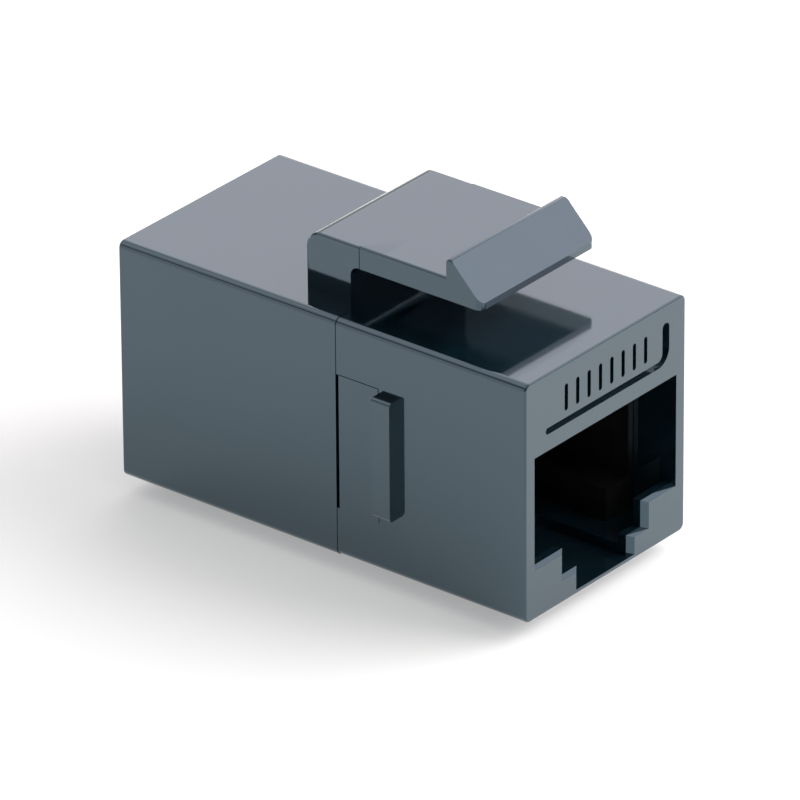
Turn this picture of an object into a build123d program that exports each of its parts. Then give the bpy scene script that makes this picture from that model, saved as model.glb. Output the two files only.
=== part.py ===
from build123d import *
from math import radians, tan
import os

# A feed-through keystone jack: two moulded housings that meet in an upright
# parting plane, each with the mouth of an eight-way modular socket, and between
# them two contact carriers, a circuit board and sixteen spring contacts.
# Millimetres. X runs across the width, -Y is the front face, +Z is up. The
# origin is below the middle of the body, at the lowest point of the fixed hook.

# Plug opening, the same at both ends
mouth_width = 12.8
mouth_height = 7.0  # from the upper ledges to the ceiling
upper_ledge = 3.05  # ledge heights over the underside of the body
upper_gap = 7.9
lower_ledge = 1.4
slot_width = 5.3  # the slot for the plug's tab
slot_floor = 0.32
lead_in = 0.4  # the gap and the slot narrow by this on each side
lead_rise = 0.17  # and the ledges rise by this
lead_depth = 0.3
ledge_depth = 0.8
tab_pocket_length = 6.5

# Walls of the two housings
side_wall = 0.85
top_wall = 1.5
floor_wall = 0.9
front_wall = 1.25
long_edge_radius = 0.43
face_edge_radius = 0.12
front_length = 13.3  # from the front face to the parting plane
section_step = 0.04  # the front housing's section is this much smaller all round

# Stop ribs, side pads and the shallow gap between the halves
panel_grip = 1.85  # panel ledge held between the latch lip and the ribs
rib_setback = 9.0
rib_length = 1.3
rib_height = 7.4
rib_proud = 0.67
rib_corner_radius = 0.25
pad_bottom = 3.05
pad_top = 11.4
parting_gap = 0.22
parting_gap_depth = 0.45

# Spring latch on top, and the fixed hook below
latch_width = 10.2
riser_setback = 0.6  # riser's front side behind the parting plane
riser_length = 3.15
riser_corner_radius = 1.0
root_radius = 0.55  # under the arm, ends at the parting plane
arm_gap = 2.22
arm_thickness = 1.33
arm_step = 0.04  # the arm's top stands this much over the riser's
tip_length = 2.43  # from the lip's upright back to the tip
tip_height = 0.4
crest_height = 1.55  # over the riser's top, before the crest is rounded
crest_radius = 0.25
lip_corner_radius = 0.42
crest_corner_radius = 0.2
latch_edge_radius = 0.15
hook_width = 10.2
hook_drop = 1.1
hook_flat = 0.5

# Engraved rule on the front face, with a raised arm at its right
rule_height = 0.4
rule_arm_width = 0.62
rule_depth = 0.5
rule_left = -5.4
rule_right = 5.72
rule_over_mouth = 1.01
rule_rise = 2.6
rule_outer_radius = 1.0
rule_inner_radius = 0.45
rule_end_radius = 0.19
rule_arm_end_radius = 0.3

# Engraved strokes over the rule, one for each contact
stroke_width = 0.3
stroke_height = 1.65
stroke_depth = 0.4
stroke_over_rule = 0.42

# Contact carriers
seat_clearance = 0.05
block_height = 1.7  # moulding over the plug space, which carries the board
cavity_depth = 13.0
back_wall = 1.35
core_gap = 0.2  # between the two carriers' backs
cheek_thickness = 0.4
guide_setback = 3.0
rail_drop = 0.15  # plug rails lie this far below the upper ledges
comb_front = 9.9
comb_drop = 2.65
comb_end_wall = 0.4
slot_relief = 0.6  # depth of the slots that a pressed contact moves into

# Circuit board
board_thickness = 1.0
board_setback = 3.2
board_side_gap = 0.2
tail_room = 0.58
tail_hole_radius = 0.37

# Spring contacts
contact_count = 8
contact_pitch = 1.02
wire_thickness = 0.3
wire_width = 0.46
wire_clearance = 0.07
run_drop = 0.3  # centre line of the straight run below the board
bend_radius = 0.6
bend_depth = 2.55
nose_lead = 0.08  # the web under the run starts this far before the bend's centre
spring_angle = 20.0
spring_end = 9.6
spring_toe = 2.6
toe_radius = 1.2
tail_radius = 0.5
tail_rows = (6.4, 8.4)
tail_proud = 0.3

# Heights over the underside of the body, and the body's own section
mouth_top = upper_ledge + mouth_height
board_level = mouth_top + block_height
board_top = board_level + board_thickness
ceiling = board_top + tail_room
body_height = ceiling + top_wall
body_width = mouth_width + 2 * side_wall
front_side = body_width / 2 - section_step
half_length = cavity_depth + back_wall + core_gap / 2
rear_length = 2 * half_length - front_length
parting_y = front_length - half_length
contact_places = [
    (place - (contact_count - 1) / 2) * contact_pitch for place in range(contact_count)
]
carrier_width = mouth_width - 2 * seat_clearance
carrier_bottom = floor_wall + seat_clearance

# Each face plane has its local X across the mouth and its local Y up, from the
# underside of the body. A negative offset goes into the body.
front_face = Plane(origin=(0, -half_length, hook_drop), x_dir=(1, 0, 0), z_dir=(0, -1, 0))
rear_face = Plane(origin=(0, half_length, hook_drop), x_dir=(-1, 0, 0), z_dir=(0, 1, 0))
from_below = (Align.CENTER, Align.MIN)


def band(plane, width, low, high):
    """Rectangle on the centre line of a face plane, between two heights."""
    with BuildSketch(plane) as area:
        with Locations((0, low)):
            Rectangle(width, high - low, align=from_below)
    return area.sketch


def collar(plane, width, low, high, inner_width):
    """The same, without its middle: what stands on the two side walls."""
    with BuildSketch(plane) as area:
        with Locations((0, low)):
            Rectangle(width, high - low, align=from_below)
            Rectangle(inner_width, high - low, align=from_below, mode=Mode.SUBTRACT)
    return area.sketch


def body_section(plane, inset):
    """Outer section of a housing, with its four long edges rounded."""
    with BuildSketch(plane) as area:
        with Locations((0, body_height / 2)):
            RectangleRounded(body_width - 2 * inset, body_height - 2 * inset, long_edge_radius)
    return area.sketch


def mouth_profile(plane, narrowing, rise):
    """Plug opening: the body's part, then the two steps down to the tab slot."""
    with BuildSketch(plane) as area:
        for width, low in (
            (mouth_width, upper_ledge + rise),
            (upper_gap - 2 * narrowing, lower_ledge + rise),
            (slot_width - 2 * narrowing, slot_floor),
        ):
            with Locations((0, low)):
                Rectangle(width, mouth_top - low, align=from_below)
    return area.sketch


def open_housing(face, length):
    """Hollows the current housing from the parting plane and opens its mouth."""
    inner = face.offset(-front_wall)
    behind = face.offset(-ledge_depth)
    cut = Mode.SUBTRACT
    extrude(band(inner, mouth_width, floor_wall, ceiling), amount=front_wall - length, mode=cut)
    outer_mouth = mouth_profile(face, 0, 0)
    inner_mouth = mouth_profile(face.offset(-lead_depth), lead_in, lead_rise)
    loft([outer_mouth, inner_mouth], ruled=True, mode=cut)
    extrude(inner_mouth, amount=lead_depth - ledge_depth, mode=cut)
    extrude(band(behind, mouth_width, floor_wall, mouth_top), amount=ledge_depth - front_wall, mode=cut)
    pocket = band(behind, slot_width - 2 * lead_in, slot_floor, floor_wall)
    extrude(pocket, amount=ledge_depth - tab_pocket_length, mode=cut)


def side_profile(*points):
    """Closed outline in the YZ plane through the middle of the body."""
    with BuildSketch(Plane.YZ) as area:
        with BuildLine():
            Polyline(*points, close=True)
        make_face()
    return area.sketch


latch_base = hook_drop + body_height
arm_bottom = latch_base + arm_gap
riser_top = arm_bottom + arm_thickness
arm_top = riser_top + arm_step
lip_back_y = rib_setback - panel_grip - half_length
tip_y = lip_back_y - tip_length
crest_top = riser_top + crest_height

# Front housing: mouth, stop ribs, pads, engraved rule and fixed hook
with BuildPart() as front_housing:
    extrude(body_section(front_face, section_step), amount=-front_length)
    face_edges = front_housing.faces().sort_by(Axis.Y)[0].outer_wire().edges()
    fillet(face_edges, face_edge_radius)

    # ribs stand on both side walls, outside the hollow
    with BuildSketch(front_face.offset(-rib_setback)):
        with Locations((0, body_height / 2)):
            RectangleRounded(2 * (front_side + rib_proud), rib_height, rib_corner_radius)
            Rectangle(mouth_width + side_wall, rib_height, mode=Mode.SUBTRACT)
    extrude(amount=-rib_length)

    # pads behind the ribs bring the sides flush with the rear housing
    pad_setback = rib_setback + rib_length
    pads = collar(
        front_face.offset(-pad_setback), body_width, pad_bottom, pad_top, mouth_width + side_wall
    )
    extrude(pads, amount=pad_setback - front_length)

    open_housing(front_face, front_length)

    # shallow gap in each side wall, at the parting plane
    gaps = collar(
        front_face.offset(parting_gap - front_length),
        body_width + 2 * rib_proud,
        pad_bottom,
        pad_top,
        body_width - 2 * parting_gap_depth,
    )
    extrude(gaps, amount=-parting_gap, mode=Mode.SUBTRACT)

    # the rule runs along the mouth and turns up at its right end
    rule_low = mouth_top + rule_over_mouth
    rule_high = rule_low + rule_rise
    arm_left = rule_right - rule_arm_width
    rule_corners = {
        (rule_left, rule_low): rule_end_radius,
        (rule_right, rule_low): rule_outer_radius,
        (rule_right, rule_high): rule_arm_end_radius,
        (arm_left, rule_high): rule_arm_end_radius,
        (arm_left, rule_low + rule_height): rule_inner_radius,
        (rule_left, rule_low + rule_height): rule_end_radius,
    }
    with BuildSketch(front_face) as rule:
        with BuildLine():
            Polyline(*rule_corners, close=True)
        make_face()
        for corner, radius in rule_corners.items():
            fillet(rule.vertices().sort_by_distance(corner)[0], radius)
    extrude(amount=-rule_depth, mode=Mode.SUBTRACT)
    stroke_centre = rule_low + rule_height + stroke_over_rule + stroke_height / 2
    with BuildSketch(front_face):
        with Locations(*[(x, stroke_centre) for x in contact_places]):
            SlotOverall(stroke_height, stroke_width, rotation=90)
    extrude(amount=-stroke_depth, mode=Mode.SUBTRACT)

    # the hook's upright back is in line with the latch lip's
    hook_root = hook_drop + (slot_floor + section_step) / 2
    hook = side_profile(
        (lip_back_y, hook_root),
        (lip_back_y, 0),
        (lip_back_y - hook_flat, 0),
        (lip_back_y - hook_flat - hook_root, hook_root),
    )
    extrude(hook, amount=hook_width / 2, both=True)
front_housing.part.label = "front_housing"

# Rear housing: mouth, and the riser that carries the latch arm
with BuildPart() as rear_housing:
    extrude(body_section(rear_face, 0), amount=-rear_length)
    face_edges = rear_housing.faces().sort_by(Axis.Y)[-1].outer_wire().edges()
    fillet(face_edges, face_edge_radius)

    riser_front = parting_y + riser_setback
    riser_back = riser_front + riser_length
    riser_root = latch_base - top_wall / 2
    with BuildSketch(Plane.YZ) as riser:
        with BuildLine():
            Polyline(
                (riser_back, riser_root),
                (riser_back, riser_top),
                (parting_y, riser_top),
                (parting_y, arm_bottom),
                (riser_front, arm_bottom),
                (riser_front, riser_root),
                close=True,
            )
        make_face()
        fillet(riser.vertices().group_by(Axis.X)[-1].sort_by(Axis.Y)[-1], riser_corner_radius)
        fillet(riser.vertices().group_by(Axis.X)[1].sort_by(Axis.Y)[-1], root_radius)
    extrude(amount=latch_width / 2, both=True)
    riser_sides = rear_housing.faces().filter_by(Axis.X).filter_by_position(Axis.Z, latch_base, riser_top)
    outer_edges = (
        riser_sides.edges()
        .filter_by_position(Axis.Z, latch_base + latch_edge_radius, crest_top)
        .filter_by_position(Axis.Y, riser_front + latch_edge_radius, half_length)
    )
    fillet(outer_edges, latch_edge_radius)

    open_housing(rear_face, rear_length)
rear_housing.part.label = "rear_housing"

# Latch arm: bends at the parting plane, where it springs from the riser
with BuildPart() as latch_arm:
    with BuildSketch(Plane.YZ) as arm:
        with BuildLine():
            Polyline(
                (parting_y, arm_bottom),
                (parting_y, arm_top),
                (lip_back_y, arm_top),
                (lip_back_y, crest_top),
                (tip_y, arm_bottom + tip_height),
                (tip_y, arm_bottom),
                close=True,
            )
        make_face()
        fillet(arm.vertices().sort_by(Axis.Y)[-1], crest_radius)
    extrude(amount=latch_width / 2, both=True)
    fillet(latch_arm.edges().filter_by(Axis.Y).group_by(Axis.Z)[-1], latch_edge_radius)

    # the lip's corners are rounded as seen from above and from the front
    with BuildSketch(Plane.XY.offset(arm_bottom)) as plan:
        with Locations((0, tip_y)):
            Rectangle(latch_width, parting_y - tip_y, align=from_below)
        fillet(plan.vertices().group_by(Axis.Y)[0], lip_corner_radius)
    extrude(amount=crest_top - arm_bottom, mode=Mode.INTERSECT)
    lip_top = latch_arm.part.bounding_box().max.Z
    with BuildSketch(Plane.XZ.offset(-parting_y)) as front_view:
        with Locations((0, arm_bottom)):
            Rectangle(latch_width, lip_top - arm_bottom, align=from_below)
        fillet(front_view.vertices().group_by(Axis.Y)[-1], crest_corner_radius)
    extrude(amount=parting_y - tip_y, mode=Mode.INTERSECT)
latch_arm.part.label = "latch_arm"

# Levels that the contacts and their channels share, over the underside of the body
run_level = board_level - run_drop
channel_width = wire_width + 2 * wire_clearance
channel_floor = run_level - wire_thickness / 2 - wire_clearance
relief_top = mouth_top + slot_relief
comb_bottom = mouth_top - comb_drop
nose_depth = bend_depth - nose_lead
comb_width = contact_count * contact_pitch + contact_pitch - channel_width
carrier_front = front_wall + seat_clearance
carrier_end = cavity_depth + back_wall
channel_end = max(tail_rows) + tail_radius + wire_thickness


def channels(plane, low, high):
    """One narrow band for each contact, side by side on a face plane."""
    with BuildSketch(plane) as area:
        with Locations(*[(x, low) for x in contact_places]):
            Rectangle(channel_width, high - low, align=from_below)
    return area.sketch


# Contact carrier: block under the board, plug guides, comb and back wall
with BuildPart() as front_carrier:
    block = band(front_face.offset(-carrier_front), carrier_width, mouth_top, board_level)
    extrude(block, amount=carrier_front - carrier_end)
    back = band(front_face.offset(-cavity_depth), carrier_width, carrier_bottom, board_level)
    extrude(back, amount=-back_wall)

    # cheeks narrow the mouth to the plug's width, and rails carry the plug
    guides = front_face.offset(-guide_setback)
    guide_length = cavity_depth - guide_setback
    cheek_gap = carrier_width - 2 * cheek_thickness
    rail_top = upper_ledge - rail_drop
    extrude(collar(guides, carrier_width, carrier_bottom, mouth_top, cheek_gap), amount=-guide_length)
    extrude(collar(guides, carrier_width, carrier_bottom, rail_top, upper_gap), amount=-guide_length)

    # comb that keeps the contacts' free ends apart
    comb = band(front_face.offset(-comb_front), comb_width, comb_bottom, mouth_top)
    extrude(comb, amount=comb_front - cavity_depth)
    comb_slots = channels(front_face.offset(-comb_front), comb_bottom, relief_top)
    extrude(comb_slots, amount=comb_front + comb_end_wall - cavity_depth, mode=Mode.SUBTRACT)

    # channels above and below the block's web, joined round its nose
    front_edge = front_face.offset(-carrier_front)
    cut = Mode.SUBTRACT
    extrude(channels(front_edge, mouth_top, board_level), amount=carrier_front - nose_depth, mode=cut)
    extrude(channels(front_edge, channel_floor, board_level), amount=carrier_front - channel_end, mode=cut)
    extrude(channels(front_edge, mouth_top, relief_top), amount=carrier_front - comb_front, mode=cut)
front_carrier.part.label = "front_carrier"

# The rear carrier is the same moulding, turned half round
with BuildPart() as rear_carrier:
    add(front_carrier.part, rotation=(0, 0, 180))
rear_carrier.part.label = "rear_carrier"


def spring_contact(place):
    """Formed wire: tail up through the board, run forward, bend, slanting spring."""
    start = -half_length
    tail = start + tail_rows[place % len(tail_rows)]
    run = hook_drop + run_level
    reach = bend_radius / tan(radians(spring_angle / 2))
    turn = start + bend_depth - reach
    end = start + spring_end
    low = run - (end - turn) * tan(radians(spring_angle))
    across = contact_places[place] - wire_width / 2
    with BuildPart() as contact:
        with BuildSketch(Plane.YZ.offset(across)):
            with BuildLine():
                FilletPolyline(
                    (tail, hook_drop + board_top + tail_proud),
                    (tail, run),
                    (turn, run),
                    (end, low),
                    (end + spring_toe, low),
                    radius=(tail_radius, bend_radius, toe_radius),
                )
            trace(line_width=wire_thickness)
        extrude(amount=wire_width)
    return contact


# Circuit board on the two carriers, with a hole for each contact's tail
with BuildPart() as circuit_board:
    with BuildSketch(Plane.XY.offset(hook_drop + board_level)):
        Rectangle(mouth_width - 2 * board_side_gap, 2 * (half_length - board_setback))
        front_tails = [
            (x, tail_rows[place % len(tail_rows)] - half_length)
            for place, x in enumerate(contact_places)
        ]
        with Locations(*front_tails, *[(-x, -y) for x, y in front_tails]):
            Circle(tail_hole_radius, mode=Mode.SUBTRACT)
    extrude(amount=board_thickness)
circuit_board.part.label = "circuit_board"

pieces = [front_housing, rear_housing, latch_arm, front_carrier, rear_carrier, circuit_board]
for place in range(contact_count):
    front_contact = spring_contact(place)
    front_contact.part.label = f"front_contact_{place + 1}"
    with BuildPart() as rear_contact:
        add(front_contact.part, rotation=(0, 0, 180))
    rear_contact.part.label = f"rear_contact_{place + 1}"
    pieces += [front_contact, rear_contact]

os.makedirs("parts", exist_ok=True)
for piece in pieces:
    export_step(piece.part, f"parts/{piece.part.label}.step")
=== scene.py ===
import math

import bmesh
import bpy
from mathutils import Matrix, Vector


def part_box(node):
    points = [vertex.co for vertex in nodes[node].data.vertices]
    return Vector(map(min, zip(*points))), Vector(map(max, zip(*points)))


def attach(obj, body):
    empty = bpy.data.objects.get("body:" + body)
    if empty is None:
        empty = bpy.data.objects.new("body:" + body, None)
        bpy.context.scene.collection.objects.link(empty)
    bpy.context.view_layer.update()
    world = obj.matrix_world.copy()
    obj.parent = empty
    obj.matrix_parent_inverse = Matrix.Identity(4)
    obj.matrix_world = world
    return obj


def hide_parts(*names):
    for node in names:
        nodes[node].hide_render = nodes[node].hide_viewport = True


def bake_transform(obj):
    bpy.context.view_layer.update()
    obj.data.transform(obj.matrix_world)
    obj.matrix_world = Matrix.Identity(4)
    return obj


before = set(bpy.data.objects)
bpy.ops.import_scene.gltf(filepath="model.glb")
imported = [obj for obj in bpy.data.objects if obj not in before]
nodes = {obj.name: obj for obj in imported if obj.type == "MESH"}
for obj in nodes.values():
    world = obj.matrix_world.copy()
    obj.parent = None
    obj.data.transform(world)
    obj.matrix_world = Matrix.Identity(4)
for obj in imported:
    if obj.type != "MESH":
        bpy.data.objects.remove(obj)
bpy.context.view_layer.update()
scene = bpy.context.scene
scene.view_settings.view_transform = "Standard"
mm = 0.001  # sizes and places below are in millimetres, angles in degrees
tolerance = 0.0005 * mm  # corners nearer to each other than this are one corner
print("keystone jack: frame loaded,", len(nodes), "pieces")

# a noise seldom leaves its middle, so tones and roughness spread over that part of it
toneSpread = (0.35, 0.65)
roughnessSpread = (0.3, 0.7)


def startMaterial(name):
    material = bpy.data.materials.new(name)
    material.use_nodes = True
    tree = material.node_tree
    tree.nodes.clear()
    output = tree.nodes.new("ShaderNodeOutputMaterial")
    shader = tree.nodes.new("ShaderNodeBsdfPrincipled")
    tree.links.new(shader.outputs["BSDF"], output.inputs["Surface"])
    return material, tree, shader


def addNoise(tree, size, detail, stretch=(1, 1, 1)):
    # size is the width of one patch
    place = tree.nodes.new("ShaderNodeTexCoord")
    mapping = tree.nodes.new("ShaderNodeMapping")
    mapping.inputs["Scale"].default_value = stretch
    noise = tree.nodes.new("ShaderNodeTexNoise")
    noise.inputs["Scale"].default_value = 1 / (size * mm)
    noise.inputs["Detail"].default_value = detail
    tree.links.new(place.outputs["Object"], mapping.inputs["Vector"])
    tree.links.new(mapping.outputs["Vector"], noise.inputs["Vector"])
    return noise.outputs["Fac"]


def addTones(tree, factor, tones):
    ramp = tree.nodes.new("ShaderNodeValToRGB")
    for stop, position, tone in zip(ramp.color_ramp.elements, toneSpread, tones):
        stop.position = position
        stop.color = (*tone, 1)
    tree.links.new(factor, ramp.inputs["Fac"])
    return ramp.outputs["Color"]


def addRoughness(tree, factor, low, high):
    spread = tree.nodes.new("ShaderNodeMapRange")
    spread.inputs["From Min"].default_value = roughnessSpread[0]
    spread.inputs["From Max"].default_value = roughnessSpread[1]
    spread.inputs["To Min"].default_value = low
    spread.inputs["To Max"].default_value = high
    tree.links.new(factor, spread.inputs["Value"])
    return spread.outputs["Result"]


def addRelief(tree, shader, height, patterns):
    # each pattern comes with its share of the height
    bump = None
    for factor, share in patterns:
        following = tree.nodes.new("ShaderNodeBump")
        following.inputs["Strength"].default_value = share
        following.inputs["Distance"].default_value = height * mm
        tree.links.new(factor, following.inputs["Height"])
        if bump:
            tree.links.new(bump.outputs["Normal"], following.inputs["Normal"])
        bump = following
    tree.links.new(bump.outputs["Normal"], shader.inputs["Normal"])


housingPlastic = {
    "tones": ((0.003, 0.010, 0.015), (0.004, 0.013, 0.020)),
    "mottle": 1.6,
    "grain": 0.11,
    "reliefHeight": 0.002,
    "grainShare": 0.5,
    "mottleShare": 0.6,
    "roughness": (0.05, 0.09),
    "ior": 2.0,
    "glossTint": (0.2, 0.46, 0.62),
    "coatIor": 1.5,
    "coatRoughness": 0.075,
}


def makeHousingPlastic(values):
    material, tree, shader = startMaterial("slateGlossPlastic")
    mottle = addNoise(tree, values["mottle"], detail=5)
    grain = addNoise(tree, values["grain"], detail=2)
    colour = addTones(tree, mottle, values["tones"])
    roughness = addRoughness(tree, mottle, *values["roughness"])
    tree.links.new(colour, shader.inputs["Base Color"])
    tree.links.new(roughness, shader.inputs["Roughness"])
    shader.inputs["IOR"].default_value = values["ior"]
    shader.inputs["Specular Tint"].default_value = (*values["glossTint"], 1)
    shader.inputs["Coat Weight"].default_value = 1
    shader.inputs["Coat IOR"].default_value = values["coatIor"]
    shader.inputs["Coat Roughness"].default_value = values["coatRoughness"]
    patterns = ((grain, values["grainShare"]), (mottle, values["mottleShare"]))
    addRelief(tree, shader, values["reliefHeight"], patterns)
    return material


carrierPlastic = {
    "tones": ((0.004, 0.004, 0.005), (0.008, 0.008, 0.009)),
    "mottle": 0.9,
    "grain": 0.07,
    "reliefHeight": 0.008,
    "grainShare": 0.7,
    "roughness": (0.38, 0.5),
}


def makeCarrierPlastic(values):
    material, tree, shader = startMaterial("blackMattePlastic")
    mottle = addNoise(tree, values["mottle"], detail=4)
    grain = addNoise(tree, values["grain"], detail=2)
    colour = addTones(tree, mottle, values["tones"])
    roughness = addRoughness(tree, mottle, *values["roughness"])
    tree.links.new(colour, shader.inputs["Base Color"])
    tree.links.new(roughness, shader.inputs["Roughness"])
    addRelief(tree, shader, values["reliefHeight"], ((grain, values["grainShare"]),))
    return material


goldWire = {
    "tones": ((0.93, 0.64, 0.25), (0.98, 0.74, 0.36)),
    "patch": 0.5,
    "drawLines": 0.05,
    "drawStretch": (1, 0.06, 1),  # the lines run along the wire
    "reliefHeight": 0.0004,
    "lineShare": 0.6,
    "roughness": (0.36, 0.46),
}


def makeGoldWire(values):
    material, tree, shader = startMaterial("goldPlatedWire")
    patches = addNoise(tree, values["patch"], detail=3)
    lines = addNoise(tree, values["drawLines"], detail=2, stretch=values["drawStretch"])
    colour = addTones(tree, patches, values["tones"])
    roughness = addRoughness(tree, lines, *values["roughness"])
    tree.links.new(colour, shader.inputs["Base Color"])
    tree.links.new(roughness, shader.inputs["Roughness"])
    shader.inputs["Metallic"].default_value = 1
    addRelief(tree, shader, values["reliefHeight"], ((lines, values["lineShare"]),))
    return material


boardMask = {
    "tones": ((0.006, 0.075, 0.022), (0.012, 0.14, 0.045)),
    "trackWidth": 0.45,
    "trackWander": 0.6,
    "cloud": 0.8,
    "reliefHeight": 0.02,
    "trackShare": 0.5,
    "roughness": (0.25, 0.35),
}


def makeBoardMask(values):
    material, tree, shader = startMaterial("greenSolderMask")
    place = tree.nodes.new("ShaderNodeTexCoord")
    wave = tree.nodes.new("ShaderNodeTexWave")
    wave.bands_direction = "X"
    waveLength = 0.314  # of the wave texture at scale 1
    wave.inputs["Scale"].default_value = waveLength / (2 * values["trackWidth"] * mm)
    wave.inputs["Distortion"].default_value = values["trackWander"]
    tree.links.new(place.outputs["Object"], wave.inputs["Vector"])
    tracks = wave.outputs["Fac"]
    clouds = addNoise(tree, values["cloud"], detail=3)
    colour = addTones(tree, tracks, values["tones"])
    roughness = addRoughness(tree, clouds, *values["roughness"])
    tree.links.new(colour, shader.inputs["Base Color"])
    tree.links.new(roughness, shader.inputs["Roughness"])
    addRelief(tree, shader, values["reliefHeight"], ((tracks, values["trackShare"]),))
    return material


solderMetal = {
    "tones": ((0.52, 0.53, 0.55), (0.70, 0.70, 0.71)),
    "cloud": 0.2,
    "reliefHeight": 0.004,
    "cloudShare": 0.4,
    "roughness": (0.18, 0.4),
}


def makeSolder(values):
    material, tree, shader = startMaterial("tinSolder")
    clouds = addNoise(tree, values["cloud"], detail=3)
    colour = addTones(tree, clouds, values["tones"])
    roughness = addRoughness(tree, clouds, *values["roughness"])
    tree.links.new(colour, shader.inputs["Base Color"])
    tree.links.new(roughness, shader.inputs["Roughness"])
    shader.inputs["Metallic"].default_value = 1
    addRelief(tree, shader, values["reliefHeight"], ((clouds, values["cloudShare"]),))
    return material


slatePlastic = makeHousingPlastic(housingPlastic)
blackPlastic = makeCarrierPlastic(carrierPlastic)
contactGold = makeGoldWire(goldWire)
solderMask = makeBoardMask(boardMask)
tinSolder = makeSolder(solderMetal)


def finishNode(name, material):
    mesh = nodes[name].data
    mesh.materials.clear()
    mesh.materials.append(material)


for name in nodes:
    if "contact" in name:
        finishNode(name, contactGold)
    elif "carrier" in name:
        finishNode(name, blackPlastic)
    elif name == "circuit_board":
        finishNode(name, solderMask)
    else:
        finishNode(name, slatePlastic)
print("finishes: housings, latch, carriers, board and contacts")


def keepResult(piece):
    # makes the modifiers' result the piece's own mesh
    graph = bpy.context.evaluated_depsgraph_get()
    piece.data = bpy.data.meshes.new_from_object(piece.evaluated_get(graph))
    piece.modifiers.clear()


latch = {"bendLength": 3.2, "sections": 18, "rootTaper": 0.05, "sharpAngle": 32}


def makeBendingArm(values):
    # a copy of the arm, cut into short sections at its root
    low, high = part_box("latch_arm")
    mesh = nodes["latch_arm"].data.copy()
    arm = bpy.data.objects.new("latch_arm_bending", mesh)
    scene.collection.objects.link(arm)

    form = bmesh.new()
    form.from_mesh(mesh)
    bmesh.ops.remove_doubles(form, verts=form.verts, dist=tolerance)
    section = values["bendLength"] / values["sections"]
    depths = [section * number for number in range(1, values["sections"])]
    for depth in [values["rootTaper"], *depths]:
        bmesh.ops.bisect_plane(
            form,
            geom=form.verts[:] + form.edges[:] + form.faces[:],
            dist=tolerance,
            plane_co=(0, high.y - depth * mm, 0),
            plane_no=(0, 1, 0),
        )
    narrower = 1 - values["rootTaper"] * mm / high.x  # leaves a fine line between arm and riser
    for vertex in form.verts:
        if vertex.co.y > high.y - tolerance:
            vertex.co.x *= narrower
    form.to_mesh(mesh)
    form.free()

    mesh.attributes.remove(mesh.attributes["custom_normal"])  # they don't suit the merged mesh
    mesh.shade_smooth()
    mesh.set_sharp_from_angle(angle=math.radians(values["sharpAngle"]))
    even = arm.modifiers.new("evenShading", "WEIGHTED_NORMAL")  # keeps the flat faces flat
    even.keep_sharp = True
    keepResult(arm)
    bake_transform(arm)
    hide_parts("latch_arm")


makeBendingArm(latch)
print("latch arm: bends over", latch["bendLength"], "mm")

solder = {
    "padRadius": 0.48,
    "wireRadius": 0.2,
    "height": 0.24,
    "sides": 20,
    "steps": 3,
    "sharpAngle": 50,
}


def findTails():
    # the middle of each wire's upper end, where it comes out of its hole in the board
    endDepth = 0.05  # how much of the wire counts as its end
    tails = []
    for name in sorted(nodes):
        if "contact" in name:
            corners = [vertex.co for vertex in nodes[name].data.vertices]
            top = max(corner.z for corner in corners)
            ends = [corner for corner in corners if corner.z > top - endDepth * mm]
            tails.append(sum(ends, Vector()) / len(ends))
    return tails


def makeSolderTree(values):
    # sets a cone of solder on every point
    tree = bpy.data.node_groups.new("solderOnTails", "GeometryNodeTree")
    addSocket = tree.interface.new_socket
    addSocket("Geometry", in_out="INPUT", socket_type="NodeSocketGeometry")
    sizes = []
    for label, size in (
        ("Pad Radius", values["padRadius"]),
        ("Wire Radius", values["wireRadius"]),
        ("Solder Height", values["height"]),
    ):
        socket = addSocket(label, in_out="INPUT", socket_type="NodeSocketFloat")
        socket.default_value = size * mm
        sizes.append(socket)
    addSocket("Geometry", in_out="OUTPUT", socket_type="NodeSocketGeometry")
    given = tree.nodes.new("NodeGroupInput")
    result = tree.nodes.new("NodeGroupOutput")
    cone = tree.nodes.new("GeometryNodeMeshCone")
    cone.inputs["Vertices"].default_value = values["sides"]
    cone.inputs["Side Segments"].default_value = values["steps"]
    spread = tree.nodes.new("GeometryNodeInstanceOnPoints")
    realize = tree.nodes.new("GeometryNodeRealizeInstances")
    finish = tree.nodes.new("GeometryNodeSetMaterial")
    finish.inputs["Material"].default_value = tinSolder
    link = tree.links.new
    link(given.outputs["Pad Radius"], cone.inputs["Radius Bottom"])
    link(given.outputs["Wire Radius"], cone.inputs["Radius Top"])
    link(given.outputs["Solder Height"], cone.inputs["Depth"])
    link(given.outputs["Geometry"], spread.inputs["Points"])
    link(cone.outputs["Mesh"], spread.inputs["Instance"])
    link(spread.outputs["Instances"], realize.inputs["Geometry"])
    link(realize.outputs["Geometry"], finish.inputs["Geometry"])
    link(finish.outputs["Geometry"], result.inputs["Geometry"])
    return tree, sizes


def makeSolderJoints(values, tails):
    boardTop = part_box("circuit_board")[1].z
    points = bpy.data.meshes.new("tailPoints")
    points.from_pydata([(tail.x, tail.y, boardTop) for tail in tails], [], [])
    joints = bpy.data.objects.new("solder_joints", points)
    scene.collection.objects.link(joints)

    tree, sizes = makeSolderTree(values)
    modifier = joints.modifiers.new("solder", "NODES")
    modifier.node_group = tree
    for socket in sizes:
        modifier[socket.identifier] = socket.default_value
    keepResult(joints)
    joints.data.shade_smooth()
    joints.data.set_sharp_from_angle(angle=math.radians(values["sharpAngle"]))
    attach(joints, "housing")


tails = findTails()
makeSolderJoints(solder, tails)
print("board: solder on", len(tails), "tails")

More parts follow.
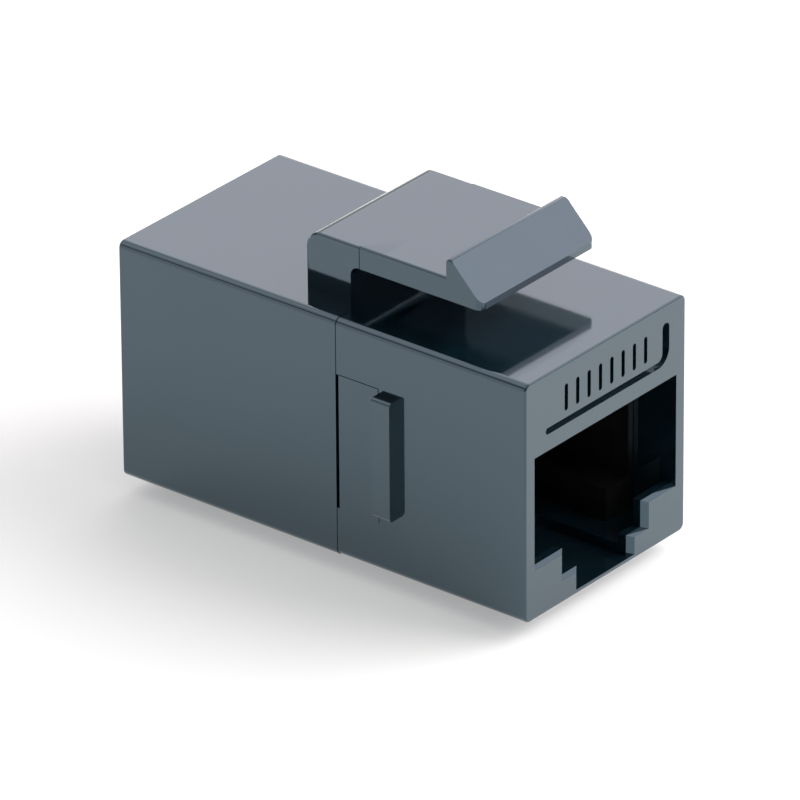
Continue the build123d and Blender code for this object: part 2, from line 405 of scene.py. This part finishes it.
camera = {
    "azimuth": -51.166,
    "elevation": 27.284,
    "roll": -0.39,
    "distance": 570.47,
    "aimRight": -0.125,
    "aimUp": 5.757,
    "aimHeight": 1.1,
    "lens": 455.7,
    "sensorWidth": 36,
    "nearest": 10,
    "farthest": 10000,
}


def makeCamera(values):
    data = bpy.data.cameras.new("productCamera")
    data.lens = values["lens"]
    data.sensor_width = values["sensorWidth"]
    data.clip_start = values["nearest"] * mm
    data.clip_end = values["farthest"] * mm
    lookout = bpy.data.objects.new("productCamera", data)
    scene.collection.objects.link(lookout)
    turn = (
        Matrix.Rotation(math.radians(values["azimuth"]), 4, "Z")
        @ Matrix.Rotation(math.radians(90 - values["elevation"]), 4, "X")
        @ Matrix.Rotation(math.radians(values["roll"]), 4, "Z")
    )
    aside = Vector((values["aimRight"], values["aimUp"], 0))
    back = Vector((0, 0, values["distance"]))
    aim = Vector((0, 0, values["aimHeight"])) + turn.to_3x3() @ aside
    eye = aim + turn.to_3x3() @ back
    lookout.matrix_world = Matrix.Translation(eye * mm) @ turn
    scene.camera = lookout


makeCamera(camera)
print("camera: lens", camera["lens"], "mm at", camera["distance"], "mm")

studio = {
    "floorReach": 3000,
    "floorColour": 0.72,
    "floorLift": 0.33,
    "brightSide": (0.5, -0.1, 0.85),
    "brightFrom": 0.65,  # cosine of the angle to brightSide, 0 where the dark side begins
    "brightLevel": 0.69,
    "darkLevel": 0.25,
}

# level is what a mirror would show, with 1 as white
softboxes = {
    "key": {"level": 4.7, "place": (250, -310, 300), "size": 390, "colour": (1, 0.98, 0.96)},
    "side": {"level": 0.73, "place": (380, 20, 290), "size": 740, "colour": (1, 0.9, 1)},
    "front": {"level": 0.88, "place": (290, -198, 232), "size": 180, "colour": (1, 0.74, 0.74)},
    "lowRim": {"level": 0.85, "place": (-390, 275, 105), "size": 200, "colour": (1, 0.85, 0.9)},
    "highRim": {"level": 0.75, "place": (-130, 270, 375), "size": 300, "colour": (1, 0.85, 0.87)},
}


def seenDirectly(tree):
    # 1 for camera, glossy and transmission rays
    path = tree.nodes.new("ShaderNodeLightPath")
    total = path.outputs["Is Camera Ray"]
    for ray in ("Is Glossy Ray", "Is Transmission Ray"):
        larger = tree.nodes.new("ShaderNodeMath")
        larger.operation = "MAXIMUM"
        tree.links.new(total, larger.inputs[0])
        tree.links.new(path.outputs[ray], larger.inputs[1])
        total = larger.outputs["Value"]
    return total


def makeFloorFinish(values):
    # a pale surface that keeps the shadow, lifted to white where it is seen
    material = bpy.data.materials.new("paleFloor")
    material.use_nodes = True
    tree = material.node_tree
    tree.nodes.clear()
    output = tree.nodes.new("ShaderNodeOutputMaterial")
    diffuse = tree.nodes.new("ShaderNodeBsdfDiffuse")
    diffuse.inputs["Color"].default_value = (values["floorColour"],) * 3 + (1,)
    lift = tree.nodes.new("ShaderNodeEmission")
    both = tree.nodes.new("ShaderNodeAddShader")
    amount = tree.nodes.new("ShaderNodeMath")
    amount.operation = "MULTIPLY"
    amount.inputs[1].default_value = values["floorLift"]
    tree.links.new(seenDirectly(tree), amount.inputs[0])
    tree.links.new(amount.outputs["Value"], lift.inputs["Strength"])
    tree.links.new(diffuse.outputs["BSDF"], both.inputs[0])
    tree.links.new(lift.outputs["Emission"], both.inputs[1])
    tree.links.new(both.outputs["Shader"], output.inputs["Surface"])
    return material


def makeFloor(values):
    reach = values["floorReach"] * mm
    corners = [(-reach, -reach, 0), (reach, -reach, 0), (reach, reach, 0), (-reach, reach, 0)]
    mesh = bpy.data.meshes.new("floor")
    mesh.from_pydata(corners, [], [(0, 1, 2, 3)])
    mesh.materials.append(makeFloorFinish(values))
    floor = bpy.data.objects.new("floor", mesh)
    scene.collection.objects.link(floor)


def makeSky(values):
    # a pale room, brightest on the side of the softboxes; the camera sees it white
    world = bpy.data.worlds.new("softStudio")
    scene.world = world
    world.use_nodes = True
    tree = world.node_tree
    background = tree.nodes["Background"]
    background.inputs["Color"].default_value = (1, 1, 1, 1)
    direction = tree.nodes.new("ShaderNodeTexCoord")
    towards = tree.nodes.new("ShaderNodeVectorMath")
    towards.operation = "DOT_PRODUCT"
    towards.inputs[1].default_value = Vector(values["brightSide"]).normalized()
    level = tree.nodes.new("ShaderNodeMapRange")
    level.interpolation_type = "SMOOTHSTEP"
    level.inputs["From Min"].default_value = 0
    level.inputs["From Max"].default_value = values["brightFrom"]
    level.inputs["To Min"].default_value = values["darkLevel"]
    level.inputs["To Max"].default_value = values["brightLevel"]
    path = tree.nodes.new("ShaderNodeLightPath")
    seen = tree.nodes.new("ShaderNodeMath")
    seen.operation = "MAXIMUM"
    link = tree.links.new
    link(direction.outputs["Generated"], towards.inputs[0])
    link(towards.outputs["Value"], level.inputs["Value"])
    link(level.outputs["Result"], seen.inputs[0])
    link(path.outputs["Is Camera Ray"], seen.inputs[1])
    link(seen.outputs["Value"], background.inputs["Strength"])


def makeSoftbox(name, values):
    data = bpy.data.lights.new(name + "Softbox", "AREA")
    data.color = values["colour"]
    data.size = values["size"] * mm
    data.energy = values["level"] * math.pi * data.size ** 2
    softbox = bpy.data.objects.new(name + "Softbox", data)
    scene.collection.objects.link(softbox)
    softbox.location = Vector(values["place"]) * mm
    softbox.rotation_euler = (-softbox.location).to_track_quat("-Z", "Y").to_euler()
    softbox.visible_glossy = name != "key"  # the key leaves no hard glint
    softbox.visible_diffuse = "Rim" not in name  # the rims only show in the rounded edges


makeFloor(studio)
makeSky(studio)
for name, values in softboxes.items():
    makeSoftbox(name, values)
print("studio: floor, sky and", len(softboxes), "softboxes")
